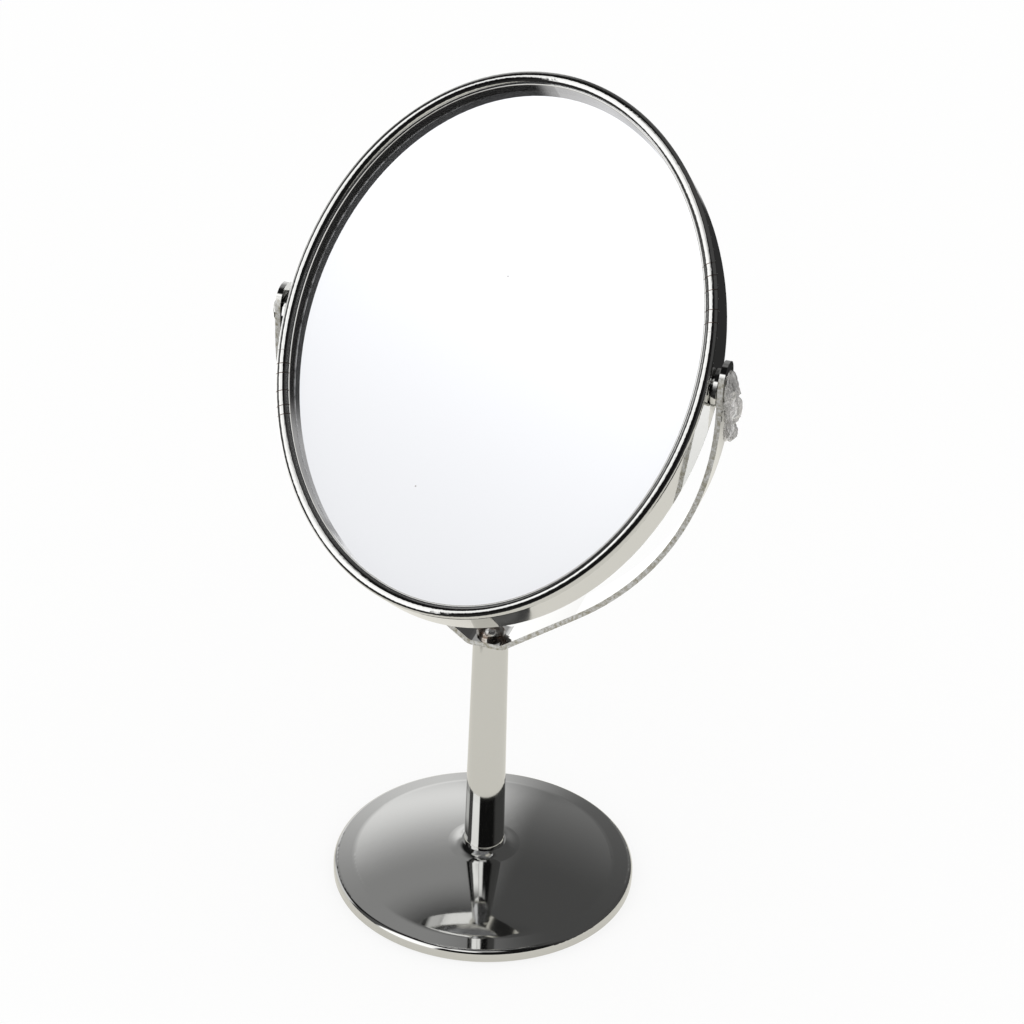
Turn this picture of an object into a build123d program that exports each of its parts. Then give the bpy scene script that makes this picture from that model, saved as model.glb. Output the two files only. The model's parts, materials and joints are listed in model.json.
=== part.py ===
from build123d import *
import os
from math import cos, radians, sin

# Free-standing chrome table mirror: an oval two-sided head that turns in a bent yoke,
# on a tapered stem and a weighted round foot. Millimetres and degrees.
# Origin: middle of the foot on the table. +Z up, the tilt axis along X, the face towards -Y.

# Head
head_width = 134.0
head_height = 170.0
bead_radius = 1.95
bead_level = 8.75
rim_wall = 0.8
rear_radius = 1.85
rear_level = 7.9
ledge_reach = 4.25
skirt_wall = 0.6
skirt_low = 5.4
recess_depth = 5.4
glass_thickness = 2.0
glass_inset = 3.0
head_tilt = 40.0

# Clearances
fit_gap = 0.3
slip_gap = 0.05
running_gap = 0.05
face_gap = 0.08

# Tilt pivots
pivot_height = 197.0
screw_radius = 1.5
boss_radius = 6.0
boss_length = 2.2
boss_chamfer = 0.35
washer_radius = 4.2
washer_thickness = 0.5
dome_radius = 4.0
dome_height = 2.6
dome_lip = 0.5
block_length = 14.0
block_height = 8.0
block_depth = 1.6
block_gap = 0.35

# Yoke
strip_width = 12.0
strip_thickness = 1.7
strip_tip = 8.8
tip_radius = 5.6
arm_straight = 7.0
arm_slope = 36.0
seat_half = 5.2
seat_clear = 18.0
bend_radius = 2.5

# Yoke screw
yoke_screw_radius = 2.0
yoke_head_radius = 4.1
yoke_head_height = 2.8
yoke_head_lip = 0.8
yoke_washer_radius = 4.7
yoke_washer_thickness = 0.7
yoke_screw_length = 12.0

# Stem
stem_foot_radius = 6.7
stem_head_radius = 5.7
stem_wall = 0.9
insert_length = 14.0
insert_gap = 0.04

# Foot
base_radius = 50.0
base_rim_height = 4.5
base_edge_radius = 1.7
base_foot_lift = 0.5
flange_width = 6.8
flange_rise = 0.6
flange_blend = 8.0
dome_arc_radius = 140.0
dome_end_radius = 12.0
dome_end_height = 10.9
dome_top = 12.5
dome_flat = 7.3
shell_wall = 0.8
weight_gap = 0.5
weight_plate = 2.3
pad_thickness = 1.6
pad_gap = 0.4
base_screw_radius = 2.5
base_screw_head_radius = 4.4
base_screw_head_height = 2.8
base_screw_reach = 11.0
base_washer_radius = 5.2
base_washer_thickness = 1.0
counterbore_depth = 5.0

# Packing film left on the right knob
film_rise = 8.0
film_drop = 19.0
film_width = 10.0
film_depth = 5.0
film_round = 2.0
film_forward = -3.0

# Worked out from the above
half_width = head_width / 2
half_height = head_height / 2
glass_face = bead_level - recess_depth
glass_back = glass_face - glass_thickness
strip_inner = half_width + boss_length + face_gap
strip_outer = strip_inner + strip_thickness
seat_top = pivot_height - half_height - seat_clear
stem_top = seat_top - strip_thickness
tilt = radians(head_tilt)
head_plane = Plane(
    origin=(0, 0, pivot_height),
    x_dir=(1, 0, 0),
    z_dir=(0, -cos(tilt), sin(tilt)),
)
section_plane = Plane(
    origin=head_plane.from_local_coords((0, half_height, 0)),
    x_dir=head_plane.y_dir,
    z_dir=head_plane.x_dir,
)
sides = {"left": -1, "right": 1}


def across(side, distance):
    """Plane square to the tilt axis, facing outwards, at a distance from the middle."""
    return Plane(
        origin=(side * distance, 0, pivot_height),
        x_dir=(0, 1, 0),
        z_dir=(side, 0, 0),
    )


def domed_outline(radius, lip, height):
    """Half section of a domed screw head, standing on y = 0 about x = 0."""
    rise = height - lip
    Polyline((0, 0), (radius, 0), (radius, lip))
    RadiusArc((radius, lip), (0, height), -(radius**2 + rise**2) / (2 * rise))
    Line((0, height), (0, 0))


def keep(piece, label):
    """Names a finished piece and writes it to its own file."""
    piece.label = label
    export_step(piece, f"parts/{label}.step")


os.makedirs("parts", exist_ok=True)


# Casing: an outer band with a round rear edge that turns in to hold the rear glass
with BuildPart() as casing:
    with BuildLine(head_plane) as casing_path:
        EllipticalCenterArc((0, 0), half_width, half_height, start_angle=90, arc_size=360)
    with BuildSketch(section_plane):
        with Locations((-rear_radius, -rear_level)):
            Circle(rear_radius)
            Circle(rear_radius - rim_wall, mode=Mode.SUBTRACT)
            Rectangle(
                2 * rear_radius,
                rear_radius,
                align=(Align.CENTER, Align.MIN),
                mode=Mode.SUBTRACT,
            )
        with Locations((0, -rear_level)):
            Rectangle(
                rim_wall, rear_level + bead_level - slip_gap, align=(Align.MAX, Align.MIN)
            )
        with Locations((-2 * rear_radius, -rear_level)):
            Rectangle(rim_wall, rear_level - glass_face, align=(Align.MIN, Align.MIN))
    sweep(path=casing_path.line)
    for side in sides.values():
        with BuildSketch(across(side, half_width - 2 * rim_wall)):
            Circle(screw_radius + slip_gap)
        extrude(amount=3 * rim_wall, mode=Mode.SUBTRACT)
keep(casing.part, "casing")


# Bezel: a rolled bead on the band's edge, with a narrow ledge, a wall down to the front glass
# and a skirt inside the casing
with BuildPart() as bezel:
    with BuildLine(head_plane) as bezel_path:
        EllipticalCenterArc((0, 0), half_width, half_height, start_angle=90, arc_size=360)
    with BuildSketch(section_plane):
        with Locations((-bead_radius, bead_level)):
            Circle(bead_radius)
        with Locations((-rim_wall - slip_gap, bead_level)):
            Rectangle(
                bead_radius, bead_radius, align=(Align.MIN, Align.MAX), mode=Mode.SUBTRACT
            )
        with Locations((-ledge_reach, bead_level)):
            Rectangle(ledge_reach - bead_radius, rim_wall, align=(Align.MIN, Align.MAX))
        with Locations((-ledge_reach, glass_face)):
            Rectangle(rim_wall, recess_depth, align=(Align.MIN, Align.MIN))
        with Locations((-rim_wall - slip_gap, skirt_low)):
            Rectangle(skirt_wall, bead_level - skirt_low, align=(Align.MAX, Align.MIN))
    sweep(path=bezel_path.line)
keep(bezel.part, "bezel")


# Glasses and their backing boards
for label, face in (("front_glass", 1), ("rear_glass", -1)):
    with BuildPart() as glass:
        with BuildSketch(head_plane.offset(face * glass_back)):
            Ellipse(half_width - glass_inset, half_height - glass_inset)
        extrude(amount=face * glass_thickness)
    keep(glass.part, label)

for label, face in (("front_backing_board", 1), ("rear_backing_board", -1)):
    with BuildPart() as board:
        with BuildSketch(head_plane):
            Ellipse(half_width - glass_inset, half_height - glass_inset)
        extrude(amount=face * glass_back)
    keep(board.part, label)


# Tilt pivots: threaded block behind the band, boss, washer and domed screw on each side
block_face = half_width - rim_wall - block_gap
dome_place = strip_outer + 2 * face_gap + washer_thickness
for name, side in sides.items():
    with BuildPart() as block:
        with BuildSketch(across(side, block_face - block_depth)):
            Rectangle(block_length, block_height, rotation=side * (90 - head_tilt))
            Circle(screw_radius + slip_gap, mode=Mode.SUBTRACT)
        extrude(amount=block_depth)
    keep(block.part, f"{name}_pivot_block")

    with BuildPart() as boss:
        with BuildSketch(across(side, half_width)):
            Circle(boss_radius)
            Circle(screw_radius + slip_gap, mode=Mode.SUBTRACT)
        extrude(amount=boss_length)
        chamfer(boss.edges().filter_by(GeomType.CIRCLE).sort_by(SortBy.RADIUS)[-2:], boss_chamfer)
    keep(boss.part, f"{name}_pivot_boss")

    with BuildPart() as washer:
        with BuildSketch(across(side, strip_outer + face_gap)):
            Circle(washer_radius)
            Circle(screw_radius + slip_gap, mode=Mode.SUBTRACT)
        extrude(amount=washer_thickness)
    keep(washer.part, f"{name}_pivot_washer")

    with BuildPart() as pivot_screw:
        with BuildSketch(across(side, block_face - block_depth)):
            Circle(screw_radius)
        extrude(amount=dome_place - block_face + block_depth + dome_lip)
        dome_plane = Plane(
            origin=(side * dome_place, 0, pivot_height), x_dir=(0, 0, 1), z_dir=(0, side, 0)
        )
        with BuildSketch(dome_plane):
            with BuildLine():
                domed_outline(dome_radius, dome_lip, dome_height)
            make_face()
        revolve(axis=Axis((0, 0, pivot_height), (1, 0, 0)))
    keep(pivot_screw.part, f"{name}_pivot_screw")


# Yoke: one strip with a flat seat, straight slopes, curved arms and rounded tips
slope = radians(arm_slope)
arm_top = pivot_height - arm_straight
arm_rise = arm_top - seat_top
arm_run = strip_inner - seat_half
arm_radius = (arm_rise * cos(slope) - arm_run * sin(slope)) / (1 - sin(slope))
arm_start = (
    strip_inner - arm_radius * (1 - sin(slope)),
    arm_top - arm_radius * cos(slope),
)
with BuildPart() as yoke:
    with BuildSketch(Plane.XZ):
        with BuildLine() as yoke_line:
            FilletPolyline((0, seat_top), (seat_half, seat_top), arm_start, radius=bend_radius)
            RadiusArc(arm_start, (strip_inner, arm_top), -arm_radius)
            Line((strip_inner, arm_top), (strip_inner, pivot_height + strip_tip))
            mirror(about=Plane.YZ)
            offset(amount=strip_thickness, side=Side.RIGHT)
        make_face()
    extrude(amount=strip_width / 2, both=True)
    tip_edges = yoke.edges().filter_by(Axis.X).group_by(Axis.Z)[-1]
    fillet(tip_edges, tip_radius)
    with BuildSketch(Plane.XY.offset(seat_top)):
        Circle(yoke_screw_radius + slip_gap)
    extrude(amount=-2 * strip_thickness, mode=Mode.SUBTRACT)
    for side in sides.values():
        with BuildSketch(across(side, strip_inner - strip_thickness)):
            Circle(screw_radius + running_gap)
        extrude(amount=3 * strip_thickness, mode=Mode.SUBTRACT)
keep(yoke.part, "yoke")


# Yoke screw and its washer on the seat
with BuildPart() as yoke_washer:
    with BuildSketch(Plane.XY.offset(seat_top)):
        Circle(yoke_washer_radius)
        Circle(yoke_screw_radius + slip_gap, mode=Mode.SUBTRACT)
    extrude(amount=yoke_washer_thickness)
keep(yoke_washer.part, "yoke_washer")

with BuildPart() as yoke_screw:
    head_place = seat_top + yoke_washer_thickness
    with BuildSketch(Plane(origin=(0, 0, head_place), x_dir=(1, 0, 0), z_dir=(0, -1, 0))):
        with BuildLine():
            domed_outline(yoke_head_radius, yoke_head_lip, yoke_head_height)
        make_face()
    revolve(axis=Axis.Z)
    with BuildSketch(Plane.XY.offset(head_place)):
        Circle(yoke_screw_radius)
    extrude(amount=-yoke_screw_length)
keep(yoke_screw.part, "yoke_screw")


# Stem: a tapered tube with a threaded insert in each end
def stem_bore(height):
    """Bore radius of the tapered stem at a height above the table."""
    share = (height - dome_top) / (stem_top - dome_top)
    return stem_foot_radius + share * (stem_head_radius - stem_foot_radius) - stem_wall


with BuildPart() as stem:
    with BuildSketch(Plane.XZ):
        with BuildLine():
            Polyline(
                (stem_foot_radius, dome_top),
                (stem_head_radius, stem_top),
                (stem_head_radius - stem_wall, stem_top),
                (stem_foot_radius - stem_wall, dome_top),
                close=True,
            )
        make_face()
    revolve(axis=Axis.Z)
keep(stem.part, "stem")

inserts = (
    ("stem_head_insert", stem_top - insert_length, stem_top, yoke_screw_radius),
    ("stem_foot_insert", dome_top, dome_top + insert_length, base_screw_radius),
)
for label, low, high, thread_radius in inserts:
    with BuildPart() as insert:
        with BuildSketch(Plane.XZ):
            with BuildLine():
                Polyline(
                    (thread_radius + slip_gap, low),
                    (stem_bore(low) - insert_gap, low),
                    (stem_bore(high) - insert_gap, high),
                    (thread_radius + slip_gap, high),
                    close=True,
                )
            make_face()
        revolve(axis=Axis.Z)
    keep(insert.part, label)


# Foot: pressed shell, cast weight under it, screw and washer in the weight, pad below
shell_corner = (base_radius - base_edge_radius, base_rim_height)
flange_end = (base_radius - flange_width, base_rim_height + flange_rise)
dome_end = (dome_end_radius, dome_end_height)
bolt_hole = base_screw_radius + fit_gap
with BuildPart() as base_shell:
    with BuildSketch(Plane.XZ):
        with BuildLine() as shell_line:
            wall = Line(
                (base_radius, base_foot_lift), (base_radius, base_rim_height - base_edge_radius)
            )
            RadiusArc(wall @ 1, shell_corner, -base_edge_radius)
            Line(shell_corner, flange_end)
            dome = RadiusArc(flange_end, dome_end, -dome_arc_radius)
            TangentArc(dome_end, (dome_flat, dome_top), tangent=dome % 1)
            Line((dome_flat, dome_top), (bolt_hole, dome_top))
            fillet(shell_line.vertices().sort_by_distance((*flange_end, 0))[0], flange_blend)
            offset(amount=shell_wall, side=Side.LEFT)
        make_face()
    revolve(axis=Axis.Z)
keep(base_shell.part, "base_shell")

weight_radius = base_radius - flange_width - weight_gap - shell_wall
hub_top = dome_top - shell_wall
hub_low = dome_end_height - shell_wall - weight_gap
hub_radius = dome_flat - shell_wall - fit_gap
counterbore_top = pad_thickness + counterbore_depth
with BuildPart() as base_weight:
    with BuildSketch(Plane.XZ):
        with BuildLine():
            Polyline(
                (bolt_hole, counterbore_top),
                (base_washer_radius + fit_gap, counterbore_top),
                (base_washer_radius + fit_gap, pad_thickness),
                (weight_radius, pad_thickness),
                (weight_radius, pad_thickness + weight_plate),
                (dome_end_radius, hub_low),
                (hub_radius, hub_low),
                (hub_radius, hub_top),
                (bolt_hole, hub_top),
                close=True,
            )
        make_face()
    revolve(axis=Axis.Z)
keep(base_weight.part, "base_weight")

washer_low = counterbore_top - base_washer_thickness
with BuildPart() as base_washer:
    with BuildSketch(Plane.XY.offset(washer_low)):
        Circle(base_washer_radius)
        Circle(base_screw_radius + slip_gap, mode=Mode.SUBTRACT)
    extrude(amount=base_washer_thickness)
keep(base_washer.part, "base_washer")

with BuildPart() as base_screw:
    with BuildSketch(Plane.XY.offset(washer_low)):
        Circle(base_screw_head_radius)
    extrude(amount=-base_screw_head_height)
    with BuildSketch(Plane.XY.offset(washer_low)):
        Circle(base_screw_radius)
    extrude(amount=dome_top + base_screw_reach - washer_low)
keep(base_screw.part, "base_screw")

with BuildPart() as base_pad:
    with BuildSketch(Plane.XY):
        Circle(base_radius - shell_wall - pad_gap)
    extrude(amount=pad_thickness)
keep(base_pad.part, "base_pad")


# Packing film: a loose wad on the outer face of the right arm, round the front of the knob and clear of it
with BuildPart() as knob_film:
    with BuildSketch(across(1, strip_outer + slip_gap)):
        with Locations((film_forward, (film_rise - film_drop) / 2)):
            SlotOverall(film_rise + film_drop, film_width, rotation=90)
    extrude(amount=film_depth)
    fillet(knob_film.faces().sort_by(Axis.X)[-1].edges(), film_round)
    with BuildSketch(across(1, strip_outer)):
        Circle(washer_radius + fit_gap)
    extrude(amount=2 * film_depth, mode=Mode.SUBTRACT)
keep(knob_film.part, "knob_film")
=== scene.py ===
import bmesh
import bpy
import json
import math
from mathutils import Matrix, Vector, noise


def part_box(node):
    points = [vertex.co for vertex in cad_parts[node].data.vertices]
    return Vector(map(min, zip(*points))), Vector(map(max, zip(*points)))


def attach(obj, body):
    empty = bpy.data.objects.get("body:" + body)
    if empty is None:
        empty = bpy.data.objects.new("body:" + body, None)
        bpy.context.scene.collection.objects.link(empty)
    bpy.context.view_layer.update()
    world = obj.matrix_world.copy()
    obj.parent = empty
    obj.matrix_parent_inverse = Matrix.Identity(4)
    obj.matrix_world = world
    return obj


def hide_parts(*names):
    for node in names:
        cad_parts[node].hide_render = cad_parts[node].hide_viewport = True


# Chrome table mirror with an oval two-sided head in a bent yoke, on a stem and a round foot.
# Metres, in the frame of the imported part: +Z up, the tilt axis along X, the face towards -Y.
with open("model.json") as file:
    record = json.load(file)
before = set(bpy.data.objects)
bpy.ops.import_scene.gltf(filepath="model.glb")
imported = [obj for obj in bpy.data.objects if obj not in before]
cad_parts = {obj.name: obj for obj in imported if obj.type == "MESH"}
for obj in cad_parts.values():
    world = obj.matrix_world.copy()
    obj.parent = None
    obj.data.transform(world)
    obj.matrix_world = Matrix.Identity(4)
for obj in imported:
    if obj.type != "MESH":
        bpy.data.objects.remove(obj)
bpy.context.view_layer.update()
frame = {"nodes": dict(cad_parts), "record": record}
nodes = frame["nodes"]
scene = bpy.context.scene
MM = 0.001

# Chrome plate as the eye sees it: a near-neutral light grey metal
chrome_colour = "D1D1CF"

# Places on the head, for patterns that follow its oval: the pivots' middle, the way up the face, the
# oval's half sizes, and how far in from its outside the bezel's inner wall is
pivot_centre = Vector(frame["record"]["behaviour"]["joints"][0]["pos_m"])
head_tilt = math.radians(40)
up_the_face = Vector((0, math.sin(head_tilt), math.cos(head_tilt)))
half_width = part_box("bezel")[1][0]
half_height = 85 * MM
wall_reach = 4.25 * MM


def linear(code):
    """sRGB hex to a linear colour with alpha."""
    parts = [int(code[i:i + 2], 16) / 255 for i in (0, 2, 4)]
    return [p / 12.92 if p <= 0.04045 else ((p + 0.055) / 1.055) ** 2.4 for p in parts] + [1.0]


def grey(level):
    """A neutral colour at a linear level."""
    return [level, level, level, 1.0]


def towards(azimuth):
    """Level direction from the object: azimuth 0 is the front, and it grows to the right."""
    turn = math.radians(azimuth)
    return Vector((math.sin(turn), -math.cos(turn), 0))


def wire(tree, node, **inputs):
    """Sets or links a node's inputs, named with _ for a space, or by i and a number."""
    for name, value in inputs.items():
        wanted = name.replace("_", " ")
        socket = node.inputs[int(wanted[1:])] if wanted[1:].isdigit() else node.inputs[wanted]
        if isinstance(value, bpy.types.NodeSocket):
            tree.links.new(value, socket)
        else:
            socket.default_value = value


def add(tree, kind, settings=None, **inputs):
    """Adds a node with its settings and inputs."""
    node = tree.nodes.new("ShaderNode" + kind)
    for name, value in (settings or {}).items():
        setattr(node, name, value)
    wire(tree, node, **inputs)
    return node


def maths(tree, operation, *values):
    """A number worked out from one to three values or sockets."""
    inputs = {f"i{index}": value for index, value in enumerate(values)}
    return add(tree, "Math", {"operation": operation}, **inputs).outputs[0]


def vector_maths(tree, operation, *values):
    """A vector, or for a length or a product a number, worked out from vectors or sockets."""
    inputs = {f"i{index}": value for index, value in enumerate(values)}
    node = add(tree, "VectorMath", {"operation": operation}, **inputs)
    one_number = operation in ("DOT_PRODUCT", "LENGTH", "DISTANCE")
    return node.outputs["Value" if one_number else "Vector"]


def ramp(tree, value, start, end, first=0.0, last=1.0, curve="LINEAR"):
    """Goes from first to last as the value goes from start to end, and stays there beyond."""
    node = add(
        tree,
        "MapRange",
        {"interpolation_type": curve},
        Value=value,
        From_Min=start,
        From_Max=end,
        To_Min=first,
        To_Max=last,
    )
    return node.outputs["Result"]


def blend(tree, share, first, second):
    """The colour that lies a share of the way from the first to the second."""
    return add(tree, "Mix", {"data_type": "RGBA"}, Factor=share, i6=first, i7=second).outputs[2]


def mottle(tree, place, size_mm, detail, roughness=0.5):
    """Soft noise from 0 to 1 with blotches of a size."""
    scale = 1 / (size_mm * MM)
    node = add(tree, "TexNoise", Vector=place, Scale=scale, Detail=detail, Roughness=roughness)
    return node.outputs["Fac"]


def bumps(tree, height, depth_mm, strength):
    """A surface normal for a height pattern of a depth."""
    return add(tree, "Bump", Strength=strength, Distance=depth_mm * MM, Height=height).outputs["Normal"]


def empty_tree(owner):
    """The cleared node tree of a material or a world."""
    owner.use_nodes = True
    owner.node_tree.nodes.clear()
    return owner.node_tree


def new_material(name):
    """A material with its tree, its Principled shader wired to the output, and Object coordinates."""
    material = bpy.data.materials.new(name)
    tree = empty_tree(material)
    shader = add(tree, "BsdfPrincipled")
    add(tree, "OutputMaterial", Surface=shader.outputs["BSDF"])
    return material, tree, shader, add(tree, "TexCoord").outputs["Object"]


def finish_node(material, *names):
    """Gives CAD nodes one material in all their slots."""
    for name in names:
        mesh = nodes[name].data
        mesh.materials.clear()
        mesh.materials.append(material)


def new_object(name, shape):
    """An object in the scene from a bmesh, which is freed."""
    mesh = bpy.data.meshes.new(name)
    shape.to_mesh(mesh)
    shape.free()
    thing = bpy.data.objects.new(name, mesh)
    scene.collection.objects.link(thing)
    return thing


def face_place(tree, place):
    """A point's place across and up the face, and on an oval of radius 1 at the bezel's inner wall."""
    arm = vector_maths(tree, "SUBTRACT", place, pivot_centre)
    rise = vector_maths(tree, "DOT_PRODUCT", arm, up_the_face)
    across = add(tree, "SeparateXYZ", Vector=arm).outputs["X"]
    flat = add(tree, "CombineXYZ", X=across, Y=rise).outputs[0]
    pane = (1 / (half_width - wall_reach), 1 / (half_height - wall_reach), 0)
    return across, rise, vector_maths(tree, "MULTIPLY", flat, pane)


# Polished chrome: near-neutral, sharp reflections, faintly smeared in places
def polished_chrome(name, roughness):
    material, tree, shader, place = new_material(name)
    smear_mm = 14
    smear_roughness = 2.2 * roughness
    smear = mottle(tree, place, smear_mm, 3.0, 0.6)
    gloss = ramp(tree, smear, 0.35, 0.75, roughness, smear_roughness)
    wire(tree, shader, Base_Color=linear(chrome_colour), Metallic=1.0, Roughness=gloss)
    return material, tree, shader, place, gloss


# Bright chrome plate on steel: polished chrome, faintly wavy where the metal was buffed before plating
def chrome_plate(name, wave_mm, wave_height_mm, roughness):
    material, tree, shader, place, gloss = polished_chrome(name, roughness)
    wave = mottle(tree, place, wave_mm, 1.0)
    wire(tree, shader, Normal=bumps(tree, wave, wave_height_mm, 1.0))
    return material, tree, shader, place, gloss


# Cracked plate on the bead: hairlines across it, rusty brown, in a short stretch on each side. On the
# inner wall, down in the recess under the bead, its colour is a darker grey
def cracked_plate():
    material, tree, shader, place, gloss = chrome_plate("chrome_plate_rolled_bead", 6.0, 0.001, 0.03)
    across, rise, oval = face_place(tree, place)
    wall_skin = 0.1 * MM / half_width
    off_wall = ramp(tree, vector_maths(tree, "LENGTH", oval), 1 + wall_skin, 1 + 2 * wall_skin)
    plate = blend(tree, off_wall, linear("8E8C88"), linear(chrome_colour))
    crack_spacing = 4.5 * MM
    crack_width = 0.32 * MM
    crack_share = crack_width / crack_spacing
    on_oval = add(tree, "SeparateXYZ", Vector=oval)
    angle = maths(tree, "ARCTAN2", on_oval.outputs["Y"], on_oval.outputs["X"])
    cell = add(
        tree,
        "TexVoronoi",
        {"voronoi_dimensions": "1D", "feature": "DISTANCE_TO_EDGE"},
        W=maths(tree, "DIVIDE", angle, crack_spacing / half_height),
        Scale=1.0,
        Randomness=0.8,
    )
    hairline = ramp(tree, cell.outputs["Distance"], 0.25 * crack_share, 0.5 * crack_share, 1.0, 0.0)
    stretch_middle = 25 * MM
    stretch_full = 9 * MM
    stretch_end = 12 * MM
    crack_strength = 0.95
    rise_on_right = maths(tree, "MULTIPLY", maths(tree, "SIGN", across), rise)
    off_middle = maths(tree, "ABSOLUTE", maths(tree, "SUBTRACT", rise_on_right, stretch_middle))
    worn = ramp(tree, off_middle, stretch_full, stretch_end, crack_strength, 0.0)
    crack = maths(tree, "MULTIPLY", hairline, maths(tree, "MULTIPLY", worn, off_wall))
    rust_roughness = 0.4
    wire(
        tree,
        shader,
        Base_Color=blend(tree, crack, plate, linear("5A3B2C")),
        Roughness=maths(tree, "MULTIPLY_ADD", crack, rust_roughness, gloss),
    )
    return material


# Plated strip: its two faces are polished, its sheared edges were not, so they are dull and pitted
def strip_plate():
    material, tree, shader, place, gloss = polished_chrome("chrome_plate_bent_strip", 0.03)
    normal = add(tree, "SeparateXYZ", Vector=add(tree, "TexCoord").outputs["Normal"])
    edge = ramp(tree, maths(tree, "ABSOLUTE", normal.outputs["Y"]), 0.8, 0.95)
    pit_mm = 1.1
    pit_depth_mm = 0.03
    edge_roughness = 0.2
    edge_metallic = 0.1
    pits = mottle(tree, place, pit_mm, 4.0, 0.7)
    pitted = maths(tree, "MULTIPLY", edge, ramp(tree, pits, 0.35, 0.6, 1.0, 0.0))
    grain = maths(tree, "MULTIPLY", pits, edge)
    wire(
        tree,
        shader,
        Base_Color=blend(tree, pitted, linear(chrome_colour), linear("96917F")),
        Metallic=ramp(tree, edge, 0.0, 1.0, 1.0, edge_metallic),
        Roughness=maths(tree, "MULTIPLY_ADD", edge, edge_roughness, gloss),
        Normal=bumps(tree, grain, pit_depth_mm, 0.5),
    )
    return material


# Plated screw heads: bright crowns with brown tarnish creeping over them
def tarnished_plate():
    material, tree, shader, place, gloss = chrome_plate("chrome_plate_screw_heads", 4.0, 0.001, 0.05)
    bloom_mm = 5
    stain_roughness = 0.2
    stain = ramp(tree, mottle(tree, place, bloom_mm, 4.0, 0.65), 0.4, 0.62)
    wire(
        tree,
        shader,
        Base_Color=blend(tree, stain, linear("DEDDD8"), linear("7E6350")),
        Roughness=maths(tree, "MULTIPLY_ADD", stain, stain_roughness, gloss),
    )
    return material


# Silvered float glass: a bright mirror, faintly blue, under a clear front face with a thin haze that
# shows where the reflection is dark, a few specks of dust, and a ground edge that shows on the left as
# a thin uneven pale line at the bezel's wall
def silvered_glass():
    material, tree, shader, place = new_material("silvered_float_glass")
    across, _, oval = face_place(tree, place)
    edge_width = 0.3 * MM / half_width
    chip_mm = 3
    speck_spacing = 16 * MM
    silver_share = 0.88
    dust_roughness = 0.5
    out = vector_maths(tree, "LENGTH", oval)
    edge = ramp(tree, out, 1 - 1.3 * edge_width, 1 - 0.7 * edge_width)
    ground = ramp(tree, mottle(tree, place, chip_mm, 3.0), 0.35, 0.65, 0.1, 0.8)
    left_side = ramp(tree, across, -0.75 * half_width, -0.35 * half_width, 1.0, 0.0)
    line = maths(tree, "MULTIPLY", maths(tree, "MULTIPLY", edge, ground), left_side)
    grains = add(tree, "TexVoronoi", Vector=place, Scale=1 / speck_spacing)
    speck = ramp(tree, grains.outputs["Distance"], 0.012, 0.02, 0.7, 0.0)
    dust = maths(tree, "MAXIMUM", line, speck)
    wire(
        tree,
        shader,
        Base_Color=blend(tree, speck, linear("DBDCDF"), linear("8F8A80")),
        Metallic=maths(tree, "SUBTRACT", silver_share, dust),
        Roughness=maths(tree, "MULTIPLY", dust, dust_roughness),
        Coat_Weight=1.0,
        Coat_Roughness=0.0,
    )
    return material


# A plain stuff with a mottled colour and a grain: what the hidden and small parts are made of
def mottled_stuff(name, light, dark, grain_mm, grain_height_mm, roughness, metallic=0.0):
    material, tree, shader, place = new_material(name)
    grain = mottle(tree, place, grain_mm, 4.0, 0.6)
    wire(
        tree,
        shader,
        Base_Color=blend(tree, ramp(tree, grain, 0.3, 0.7), linear(dark), linear(light)),
        Metallic=metallic,
        Roughness=ramp(tree, grain, 0.3, 0.7, 1.15 * roughness, 0.85 * roughness),
        Normal=bumps(tree, grain, grain_height_mm, 0.6),
    )
    return material


# Clear packing film: thin polythene, crumpled, with bright ridges and dull creases
def clear_film():
    material, tree, shader, place = new_material("crumpled_polythene_film")
    haze_mm = 2.5
    haze = mottle(tree, place, haze_mm, 3.0)
    gloss = ramp(tree, haze, 0.0, 1.0, 0.02, 0.1)
    wire(
        tree,
        shader,
        Base_Color=blend(tree, haze, linear("FFFFFF"), linear("F3F1EE")),
        Roughness=gloss,
        Coat_Roughness=gloss,
        Transmission_Weight=0.75,
        IOR=1.2,
        Coat_Weight=1.0,
    )
    return material


finish_node(cracked_plate(), "bezel")
finish_node(chrome_plate("chrome_plate_head_band", 9.0, 0.001, 0.03)[0], "casing")
finish_node(chrome_plate("chrome_plate_pressed_foot", 10.0, 0.0016, 0.03)[0], "base_shell")
finish_node(chrome_plate("chrome_plate_drawn_tube", 7.0, 0.001, 0.03)[0], "stem")
finish_node(
    chrome_plate("chrome_plate_turned_bosses", 5.0, 0.001, 0.04)[0],
    "left_pivot_boss",
    "right_pivot_boss",
    "left_pivot_screw",
    "right_pivot_screw",
)
finish_node(strip_plate(), "yoke")
finish_node(tarnished_plate(), "yoke_screw", "yoke_washer")
finish_node(silvered_glass(), "front_glass", "rear_glass")
# Natural nylon: milky white, waxy
finish_node(
    mottled_stuff("natural_nylon_washers", "E4E2DA", "D6D3C9", 2.0, 0.01, 0.45),
    "left_pivot_washer",
    "right_pivot_washer",
)
# Grey packing card: fibrous and matt
finish_node(
    mottled_stuff("grey_packing_card", "A19C93", "857F76", 0.8, 0.04, 0.9),
    "front_backing_board",
    "rear_backing_board",
)
# Plain turned steel: grey, satin from the tool
finish_node(
    mottled_stuff("plain_turned_steel", "B4B2AE", "8E8B86", 0.9, 0.008, 0.35, 1.0),
    "left_pivot_block",
    "right_pivot_block",
    "stem_head_insert",
    "stem_foot_insert",
    "base_screw",
    "base_washer",
)
# Raw grey iron: dark, sandy from the mould
finish_node(mottled_stuff("sand_cast_iron", "565452", "37363A", 1.2, 0.12, 0.75, 0.6), "base_weight")
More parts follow.
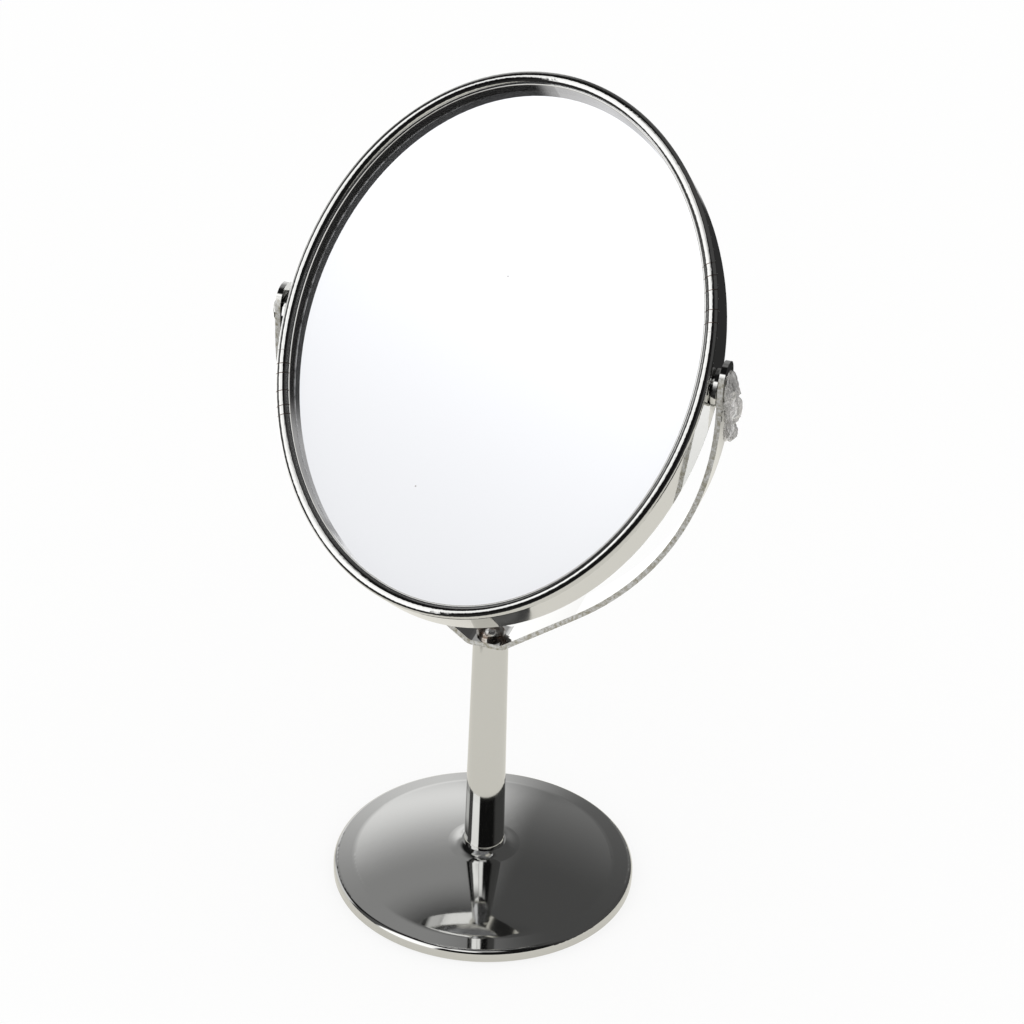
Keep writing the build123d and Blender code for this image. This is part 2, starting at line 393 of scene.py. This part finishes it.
# Black foam rubber: soft, matt, full of fine cells
finish_node(mottled_stuff("black_foam_rubber", "2B2A29", "141414", 0.7, 0.12, 0.95), "base_pad")

# The film is a scrap gathered round the front of the right knob, in the space that its solid keeps.
# It is a loose open roll: narrow at the top, full beside the knob, pinched below it, with a round end
film_low, film_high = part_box("knob_film")
film_middle = (film_low[1] + film_high[1]) / 2
film_half = (film_high[1] - film_low[1]) / 2
film_margin = 0.4 * MM
film_end = film_low[2] + 3.5 * MM
film_columns = 56
film_rows = 64
film_thickness = 0.06 * MM
roll_proud = 1.6 * MM
roll_half = (film_high[0] + roll_proud - film_low[0]) / 2 - film_margin
roll_inner = film_low[0] + film_margin
roll_turn = math.radians(165)
roll_fullness = (0.25, 0.45, 0.75, 0.95, 1.0, 1.0, 0.95, 0.9, 0.8, 0.6, 0.65, 0.75, 0.45)
knob_clear = 4.8 * MM
knob_slope = 0.7
folds = (   # how many round and along, which noise, and how strong
    (2.7, 4.1, 0.4, 1.0),
    (5.3, 8.9, 2.7, 1.0),
    (11.9, 18.3, 5.2, 0.35),
)
puff_smooth = 1.25
puff_least = 0.35
fold_depth = 1.1


def film_depth(z):
    """The front and back of the film's space at a height, clear of the knob."""
    from_end = min(film_high[2] - z, z - film_end, film_half)
    room = math.sqrt(film_half**2 - (film_half - from_end) ** 2) - film_margin
    from_knob = z - pivot_centre.z
    if abs(from_knob) < knob_clear:
        limit = pivot_centre.y - math.sqrt(knob_clear**2 - from_knob**2)
    elif from_knob < 0:
        limit = pivot_centre.y - knob_slope * (from_knob + knob_clear)
    else:
        limit = pivot_centre.y
    return film_middle - room, min(film_middle + room, limit)


def film_point(around, along):
    """A point of the film: around the roll from -1 to 1, and along it from 0 at the top to 1."""
    z = film_high[2] - film_margin + (film_end - film_high[2] + 2 * film_margin) * along
    front, back = film_depth(z)
    step = along * (len(roll_fullness) - 1)
    before = min(int(step), len(roll_fullness) - 2)
    full = roll_fullness[before] + (step - before) * (roll_fullness[before + 1] - roll_fullness[before])
    crush = 0.0
    for round_scale, long_scale, seed, strength in folds:
        crush += strength * abs(noise.noise((around * round_scale, along * long_scale, seed)))
    puff = min(1.0, max(puff_least, puff_smooth - fold_depth * crush))
    angle = roll_turn * around
    y = (front + back) / 2 - puff * math.cos(angle) * (back - front) / 2
    x = roll_inner + full * (1 + puff * math.sin(angle)) * roll_half
    return x, y, z


film_shape = bmesh.new()
bmesh.ops.create_grid(film_shape, x_segments=film_columns, y_segments=film_rows, size=1.0)
for vertex in film_shape.verts:
    vertex.co = film_point(vertex.co.x, (1 - vertex.co.y) / 2)
bmesh.ops.recalc_face_normals(film_shape, faces=film_shape.faces)
film = new_object("crumpled_film", film_shape)
film.data.shade_smooth()
film.data.materials.append(clear_film())
skin = film.modifiers.new("skin", "SOLIDIFY")
skin.thickness = film_thickness
skin.offset = 0.0
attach(film, "stand")
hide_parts("knob_film")

# White table, with the object near its front left corner. The camera sees it white as far as it goes,
# with the object's shadow. Film and chrome see it too, a little creamy in chrome, which past its edges
# sees the room, and on the right a round dark tray
table_half = 6.0
table_fades = (0.4, 1.6)
table_edges = (   # azimuth that an edge faces, how far off it is, and how soft its reflection looks
    (-45, 0.145, 0.02),
    (-155, 0.22, 0.04),
    (180, 0.385, 0.02),
)
tray_place = towards(111) * 0.33
tray_radius = 0.08
glow_share = 0.8


def table_top():
    material = bpy.data.materials.new("white_table_top")
    tree = empty_tree(material)
    place = add(tree, "TexCoord").outputs["Object"]
    distance = vector_maths(tree, "LENGTH", place)
    on_table = ramp(tree, distance, *table_fades, 1.0, 0.0, "SMOOTHSTEP")
    for azimuth, reach, soft in table_edges:
        way = vector_maths(tree, "DOT_PRODUCT", place, towards(azimuth))
        within = ramp(tree, way, reach, reach + soft, 1.0, 0.0)
        on_table = maths(tree, "MULTIPLY", on_table, within)
    from_tray = vector_maths(tree, "DISTANCE", place, tray_place)
    off_tray = ramp(tree, from_tray, 0.9 * tray_radius, 1.1 * tray_radius)
    on_table = maths(tree, "MULTIPLY", on_table, off_tray)
    rays = add(tree, "LightPath")
    in_chrome = rays.outputs["Is Glossy Ray"]
    clear = maths(tree, "MAXIMUM", rays.outputs["Is Camera Ray"], rays.outputs["Is Transmission Ray"])
    seen = maths(tree, "MAXIMUM", clear, in_chrome)
    share = maths(tree, "MULTIPLY", seen, glow_share)
    tint = blend(tree, in_chrome, linear("FFFFFF"), linear("EBE8DE"))
    matt = add(tree, "BsdfDiffuse", Color=linear("FBFBFA"))
    glow = add(tree, "Emission", Color=tint, Strength=1.0)
    top = add(tree, "MixShader", i0=share, i1=matt.outputs[0], i2=glow.outputs[0])
    kept = maths(tree, "MAXIMUM", maths(tree, "SUBTRACT", 1.0, in_chrome), on_table)
    past = add(tree, "BsdfTransparent")
    cut = add(tree, "MixShader", i0=kept, i1=past.outputs[0], i2=top.outputs[0])
    add(tree, "OutputMaterial", Surface=cut.outputs[0])
    return material


table_shape = bmesh.new()
bmesh.ops.create_grid(table_shape, x_segments=1, y_segments=1, size=table_half)
table = new_object("table", table_shape)
table.data.materials.append(table_top())

# Studio: plain white light all round, and for the chrome to show, a room with a tall window at the
# front left, a pale wall at the back left and a dark side on the right. Each panel: azimuth of its
# middle, half its width and its soft edge, lowest and highest elevation and their soft edge, level
room_level = 0.01
panels = (
    (-222, 62, 12, -2, 72, 8, 0.085),     # back wall in shade
    (-178, 18, 10, -2, 26, 22, 0.22),     # its lower end
    (-140, 24, 8, -2, 60, 10, 0.32),      # pale wall
    (-148, 17, 6, -2, 29, 16, 1.0),       # its lit lower half
    (-102, 18, 6, -2, 24, 7, 0.9),        # something low and pale on the left
    (-72, 14, 4, -2, 60, 8, 0.1),         # pier beside the window
    (-120, 180, 1, -90, -3, 1.5, 0.03),   # dark below the table
    (-131, 37, 5, -70, -1, 3, 1.5),       # but for a sunlit floor at the left
    (-36, 22, 3, -12, 58, 4, 1.62),       # window
    (-23, 9, 4, 38, 48, 5, 1.2),          # a less bright pane of it
    (2, 14, 5, 43, 60, 4, 1.5),           # window on the right of it
    (14, 28, 8, 60, 73, 5, 0.95),         # skylight
)
# Bearings are measured from this far left of the front, so that no panel lies across their seam
seam_turn = 120


def span(tree, value, middle, reach, soft):
    """1 within an angle of a middle angle, in degrees, and 0 beyond, with a soft edge."""
    off = maths(tree, "ABSOLUTE", maths(tree, "SUBTRACT", value, math.radians(middle)))
    return ramp(tree, off, math.radians(reach - soft), math.radians(reach + soft), 1.0, 0.0, "SMOOTHSTEP")


def studio():
    world = bpy.data.worlds.new("studio")
    tree = empty_tree(world)
    way = add(tree, "TexCoord").outputs["Generated"]
    sine = vector_maths(tree, "DOT_PRODUCT", way, towards(90 - seam_turn))
    cosine = vector_maths(tree, "DOT_PRODUCT", way, towards(-seam_turn))
    bearing = maths(tree, "ARCTAN2", sine, cosine)
    lift = maths(tree, "ARCSINE", add(tree, "SeparateXYZ", Vector=way).outputs["Z"])
    room = grey(room_level)
    for azimuth, half, side_soft, low, high, end_soft, level in panels:
        sides = span(tree, bearing, azimuth + seam_turn, half, side_soft)
        ends = span(tree, lift, (low + high) / 2, (high - low) / 2, end_soft)
        room = blend(tree, maths(tree, "MULTIPLY", sides, ends), room, grey(level))
    in_chrome = add(tree, "LightPath").outputs["Is Glossy Ray"]
    light = add(tree, "Background", Color=blend(tree, in_chrome, grey(1.0), room), Strength=1.0)
    add(tree, "OutputWorld", Surface=light.outputs[0])
    return world


scene.world = studio()

# Camera at the photograph's place
camera_place = Vector((0.247543, -0.793053, 0.636409))
camera_right = Vector((0.950152, 0.310120, 0.032186))
camera_up = Vector((-0.185616, 0.479691, 0.857580))
focal_pixels = 3100
picture_pixels = 1024
lens = bpy.data.cameras.new("camera")
lens.sensor_width = 36.0
lens.lens = focal_pixels * lens.sensor_width / picture_pixels
camera = bpy.data.objects.new("camera", lens)
camera_turn = Matrix((camera_right, camera_up, camera_right.cross(camera_up))).transposed()
camera.matrix_world = Matrix.Translation(camera_place) @ camera_turn.to_4x4()
scene.collection.objects.link(camera)
scene.camera = camera

scene.view_settings.view_transform = "Standard"
